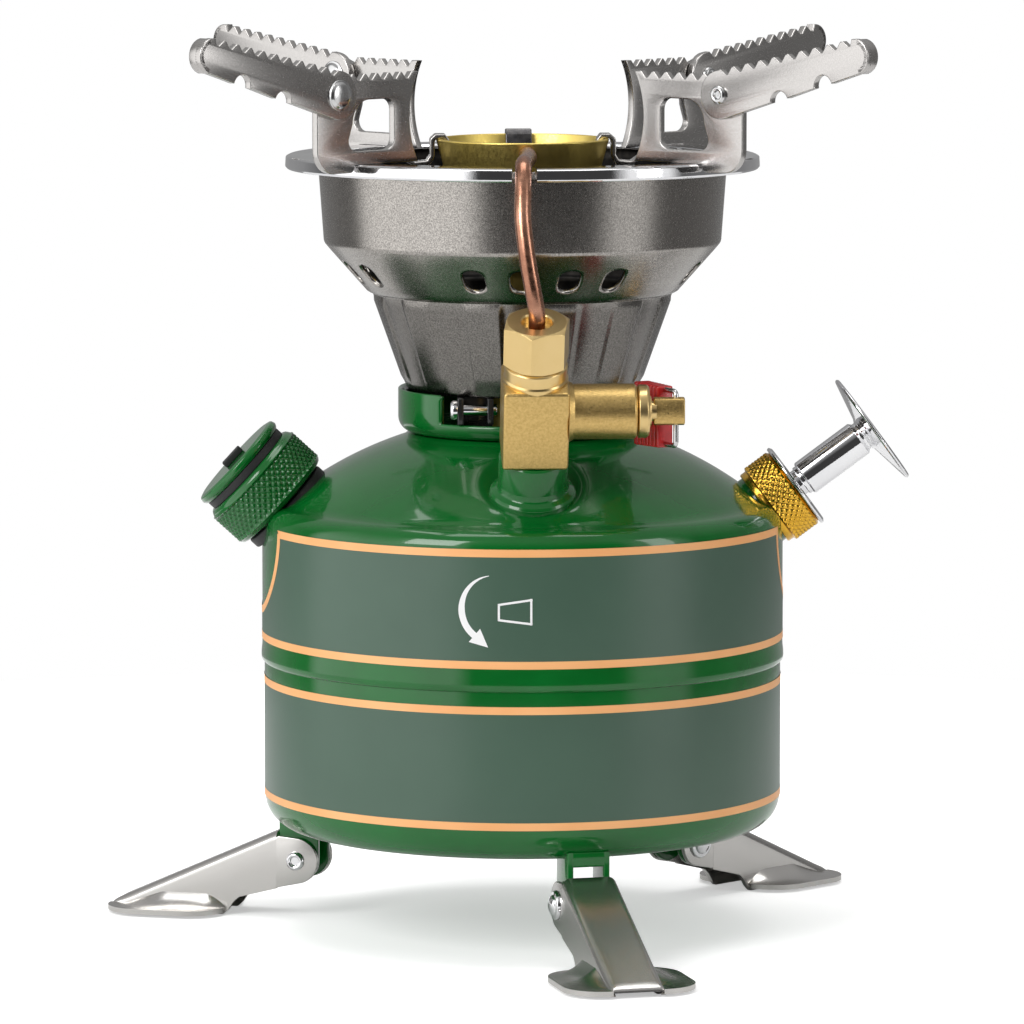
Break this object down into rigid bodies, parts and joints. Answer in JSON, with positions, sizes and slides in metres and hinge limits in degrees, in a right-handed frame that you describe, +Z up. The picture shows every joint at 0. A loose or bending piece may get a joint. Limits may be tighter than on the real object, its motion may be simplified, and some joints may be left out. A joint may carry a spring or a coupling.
{
  "type": "gasoline camping stove",
  "caption": "Liquid-fuel camping stove: round tank on folding legs, with filler, hand pump, key valve, vapour tube, fluted burner bowl and folding pot arms.",
  "frame": {"origin": "centre of the stove's footprint box, on the ground", "axes": "+Z up, -Y towards the valve side, +X towards the pump"},
  "size_m": [0.1585, 0.1524, 0.1786],
  "materials": {
    "green_paint": "glossy enamel",
    "black_rubber": "matt",
    "black_metal": "satin",
    "brass": "satin",
    "gold_knurl": "knurled, bright",
    "bright_steel": "polished",
    "steel": "brushed",
    "bowl_metal": "dark, grainy",
    "copper": "drawn copper",
    "red_grip": "ribbed",
    "leather": "oiled",
    "wick": "woven"
  },
  "bodies": {
    "stove": {"tank_lower_shell": "green_paint", "tank_upper_shell": "green_paint", "filler_neck": "green_paint", "filler_neck_ring": "black_rubber", "pump_neck": "green_paint", "pump_barrel": "brass", "pump_check_valve": "brass", "pump_collar_nut": "gold_knurl", "pump_washer": "bright_steel", "valve_boss": "green_paint", "pickup_tube": "copper", "pickup_wick": "wick", "valve_body": "brass", "tube_nut": "brass", "tube_ferrule": "brass", "gland_nut": "brass", "gland_packing": "wick", "vapour_tube": "copper", "burner_seat": "green_paint", "bowl_clamp": "black_metal", "clamp_screw": "steel", "burner_bowl": "bowl_metal", "bowl_nut": "steel", "rim_ring": "bright_steel", "burner_head": "brass", "burner_jet": "brass", "flame_spreader": "steel", "stand_front_right": "steel", "stand_rear_right": "steel", "stand_rear_left": "steel", "stand_front_left": "steel", "arm_rivets": "steel", "leg_brackets": "green_paint", "leg_rivets": "steel"},
    "pump": {"pump_rod": "bright_steel", "pump_cup": "leather", "pump_handle": "bright_steel"},
    "spindle": {"valve_spindle": "brass"},
    "key": {"key_wire": "steel", "key_grip": "red_grip"},
    "cap_carrier": {"filler_gasket": "black_rubber"},
    "cap": {"filler_cap": "green_paint", "filler_cap_seal": "black_rubber", "filler_cap_disc": "green_paint", "filler_cap_tab": "black_rubber"},
    "leg_front": {"leg_front": "steel"},
    "leg_right": {"leg_right": "steel"},
    "leg_left": {"leg_left": "steel"},
    "arm_front_right": {"arm_front_right": "steel"},
    "arm_rear_right": {"arm_rear_right": "steel"},
    "arm_rear_left": {"arm_rear_left": "steel"},
    "arm_front_left": {"arm_front_left": "steel"}
  },
  "joints": [
    {"name": "leg_front_fold", "type": "hinge", "parent": "stove", "child": "leg_front", "pos_m": [0.0124, -0.03672, 0.0115], "axis": [0.9781, 0.2079, 0], "range_deg": [0, 165]},
    {"name": "leg_right_fold", "type": "hinge", "parent": "stove", "child": "leg_right", "pos_m": [0.03675, 0.03823, 0.0115], "axis": [-0.6691, 0.7431, 0], "range_deg": [0, 165]},
    {"name": "leg_left_fold", "type": "hinge", "parent": "stove", "child": "leg_left", "pos_m": [-0.04033, 0.02184, 0.0115], "axis": [-0.309, -0.9511, 0], "range_deg": [0, 165]},
    {"name": "arm_front_right_fold", "type": "hinge", "parent": "stove", "child": "arm_front_right", "pos_m": [0.0402, -0.02948, 0.1667], "axis": [-0.7071, -0.7071, 0], "range_deg": [0, 165]},
    {"name": "arm_rear_right_fold", "type": "hinge", "parent": "stove", "child": "arm_rear_right", "pos_m": [0.04053, 0.04472, 0.1667], "axis": [0.7009, -0.7133, 0], "range_deg": [0, 165]},
    {"name": "arm_rear_left_fold", "type": "hinge", "parent": "stove", "child": "arm_rear_left", "pos_m": [-0.03129, 0.04786, 0.1667], "axis": [0.7604, 0.6494, 0], "range_deg": [0, 165]},
    {"name": "arm_front_left_fold", "type": "hinge", "parent": "stove", "child": "arm_front_left", "pos_m": [-0.0356, -0.02816, 0.1667], "axis": [-0.682, 0.7314, 0], "range_deg": [0, 165]},
    {"name": "pump_slide", "type": "slide", "parent": "stove", "child": "pump", "axis": [0.8039, 0, 0.5948], "range_m": [0, 0.036]},
    {"name": "spindle_turn", "type": "hinge", "parent": "stove", "child": "spindle", "pos_m": [0.00294, -0.03696, 0.10672], "axis": [1, 0, 0], "range_deg": [0, 360]},
    {"name": "key_fold", "type": "hinge", "parent": "spindle", "child": "key", "pos_m": [0.02994, -0.03696, 0.10672], "axis": [0, 0, 1], "range_deg": [-114, 0]},
    {"name": "cap_lift", "type": "slide", "parent": "stove", "child": "cap_carrier", "axis": [-0.7373, 0, 0.6756], "range_m": [0, 0.006]},
    {"name": "cap_turn", "type": "hinge", "parent": "cap_carrier", "child": "cap", "pos_m": [-0.04376, 0.00778, 0.0841], "axis": [-0.7373, 0, 0.6756], "range_deg": [0, 1440]}
  ],
  "couplings": [
    {"joint": "cap_lift", "follows": "cap_turn", "m_per_rad": 0.00023873}
  ]
}
